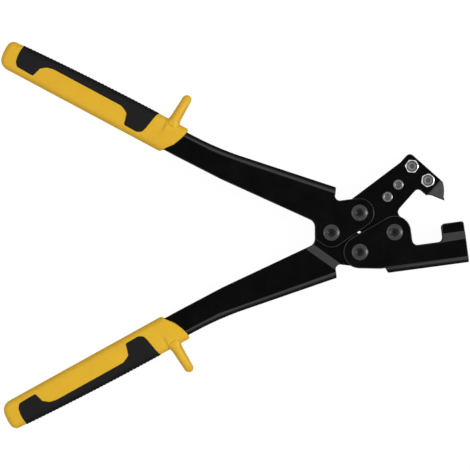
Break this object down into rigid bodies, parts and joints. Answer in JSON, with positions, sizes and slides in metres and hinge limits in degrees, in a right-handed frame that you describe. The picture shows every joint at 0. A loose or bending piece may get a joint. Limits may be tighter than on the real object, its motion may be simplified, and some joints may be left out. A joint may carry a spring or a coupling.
{
  "type": "nibbler tool",
  "caption": "Two-handed compound-lever punch pliers: a pointed tooth clamped in the upper jaw enters a slotted, folded-sheet anvil jaw.",
  "frame": {"origin": "bottom centre of the whole tool's box, lying flat and fully open", "axes": "+X towards the jaws along the tool, +Y towards the upper handle, +Z out of the front face"},
  "size_m": [0.3696, 0.3064, 0.021],
  "materials": {
    "black_enamel": "glossy black enamel on sheet steel",
    "grip_yellow": "satin moulded plastic",
    "grip_black": "matt ribbed soft plastic",
    "tooth_steel": "dark hardened tool steel",
    "rivet_steel": "turned steel",
    "zinc_plated": "bright zinc plate"
  },
  "bodies": {
    "lower_handle": {"lower_handle_channel": "black_enamel", "lower_grip_shell": "grip_yellow", "lower_grip_inlay": "grip_black"},
    "upper_handle": {"upper_handle_channel": "black_enamel", "upper_grip_shell": "grip_yellow", "upper_grip_inlay": "grip_black", "handle_pivot_pin": "rivet_steel", "upper_link_pin": "rivet_steel", "handle_pivot_bush": "rivet_steel"},
    "lower_jaw": {"lower_jaw_channel": "black_enamel", "lower_link_pin": "rivet_steel", "jaw_pivot_pin": "rivet_steel", "lower_link_bush": "rivet_steel"},
    "upper_jaw": {"upper_jaw_plate_front": "black_enamel", "upper_jaw_plate_back": "black_enamel", "upper_jaw_spacer": "black_enamel", "punch_blade": "tooth_steel", "punch_bolts": "zinc_plated", "punch_nuts": "zinc_plated", "arm_rivets": "rivet_steel"}
  },
  "joints": [
    {"name": "handle_pivot", "type": "hinge", "parent": "lower_handle", "child": "upper_handle", "pos_m": [0.07601, 0, 0.0105], "axis": [0, 0, 1], "range_deg": [0, 45]},
    {"name": "lower_link_pivot", "type": "hinge", "parent": "lower_handle", "child": "lower_jaw", "pos_m": [0.09835, -0.01552, 0.0105], "axis": [0, 0, 1], "range_deg": [0, 39.7]},
    {"name": "jaw_pivot", "type": "hinge", "parent": "lower_jaw", "child": "upper_jaw", "pos_m": [0.12599, 0, 0.0105], "axis": [0, 0, 1], "range_deg": [-34.4, 0]}
  ],
  "couplings": [
    {"joint": "lower_link_pivot", "follows": "handle_pivot", "ratio": 0.8819},
    {"joint": "jaw_pivot", "follows": "handle_pivot", "ratio": -0.7637}
  ]
}
